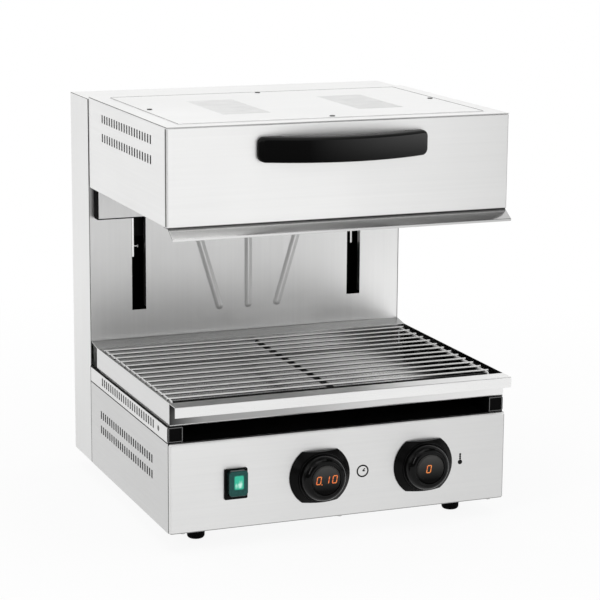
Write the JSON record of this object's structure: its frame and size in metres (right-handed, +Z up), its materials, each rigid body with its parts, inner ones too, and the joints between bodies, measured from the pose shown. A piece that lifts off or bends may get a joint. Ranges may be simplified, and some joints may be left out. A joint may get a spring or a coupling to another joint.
{
  "type": "cheese melter",
  "caption": "Lift-type cheese melter: a stainless base with knobs and a tray with a wire grid, and a heated hood that slides on a column at the back.",
  "frame": {"origin": "on the floor under the middle of the footprint, handle and gland included", "axes": "+X to the right seen from the front, +Y to the back, +Z up"},
  "size_m": [0.475, 0.4912, 0.5502],
  "materials": {
    "steel_sheet": "satin",
    "bright_steel": "bright",
    "zinc_steel": "zinc plated",
    "plated_wire": "bright",
    "black_steel": "matt",
    "black_plastic": "satin",
    "black_gloss": "gloss",
    "black_rubber": "matt",
    "display_glass": "gloss",
    "lit_rocker": "lit",
    "clear_cover": "clear",
    "board": "matt",
    "white_plastic": "satin",
    "element_tube": "oxidised"
  },
  "bodies": {
    "base": {"back_cover": "steel_sheet", "back_screws": "zinc_steel", "base_front_panel": "steel_sheet", "base_pan": "zinc_steel", "base_side_left": "steel_sheet", "base_side_right": "steel_sheet", "bonding_stud": "zinc_steel", "cable_gland": "black_plastic", "column_cap": "steel_sheet", "column_panel": "steel_sheet", "column_side_left": "steel_sheet", "column_side_right": "steel_sheet", "control_boards": "board", "deck_plate": "black_steel", "edge_screws": "zinc_steel", "feet": "black_rubber", "foot_screws": "zinc_steel", "gland_nut": "black_plastic", "guide_channels": "black_steel", "power_relay": "white_plastic", "runner_plugs": "black_plastic", "runners": "zinc_steel", "strip_screws": "zinc_steel", "strut_cylinders": "black_steel", "strut_feet": "zinc_steel", "switch_bezel": "black_plastic", "switch_body": "black_plastic", "switch_cover": "clear_cover", "terminal_block": "white_plastic", "tray_glides": "white_plastic", "vent_strip_left": "steel_sheet", "vent_strip_right": "steel_sheet", "timer_disc": "black_gloss", "timer_display": "display_glass", "thermostat_disc": "black_gloss", "thermostat_display": "display_glass"},
    "hood": {"hood_front_panel": "steel_sheet", "hood_side_right": "steel_sheet", "hood_side_left": "steel_sheet", "hood_top_frame": "steel_sheet", "hood_cover_plate": "steel_sheet", "cover_screws": "zinc_steel", "hood_lip": "steel_sheet", "carriage_plate": "steel_sheet", "carriage_seal": "black_rubber", "carriage_arms": "bright_steel", "arm_pin": "bright_steel", "carriage_shoes": "black_plastic", "strut_rods": "black_steel", "handle": "black_plastic", "handle_screws": "zinc_steel", "reflector": "steel_sheet", "heating_elements": "element_tube", "element_hangers": "zinc_steel", "heat_shield": "zinc_steel"},
    "crumb_tray": {"crumb_tray": "steel_sheet"},
    "wire_grid": {"wire_grid": "plated_wire"},
    "timer_ring": {"timer_ring": "black_gloss"},
    "thermostat_ring": {"thermostat_ring": "black_gloss"},
    "rocker": {"rocker": "lit_rocker"}
  },
  "joints": [
    {"name": "hood_lift", "type": "slide", "parent": "base", "child": "hood", "axis": [0, 0, 1], "range_m": [-0.17, 0]},
    {"name": "tray_pull", "type": "slide", "parent": "base", "child": "crumb_tray", "axis": [0, -1, 0], "range_m": [0, 0.3]},
    {"name": "grid_lift", "type": "slide", "parent": "crumb_tray", "child": "wire_grid", "axis": [0, 0, 1], "range_m": [0, 0.03]},
    {"name": "timer_turn", "type": "hinge", "parent": "base", "child": "timer_ring", "pos_m": [-0.0315, -0.22735, 0.0834], "axis": [0, -1, 0], "continuous": true},
    {"name": "thermostat_turn", "type": "hinge", "parent": "base", "child": "thermostat_ring", "pos_m": [0.117, -0.22735, 0.0834], "axis": [0, -1, 0], "continuous": true},
    {"name": "rocker_tilt", "type": "hinge", "parent": "base", "child": "rocker", "pos_m": [-0.1483, -0.21285, 0.0847], "axis": [1, 0, 0], "range_deg": [0, 16]}
  ]
}
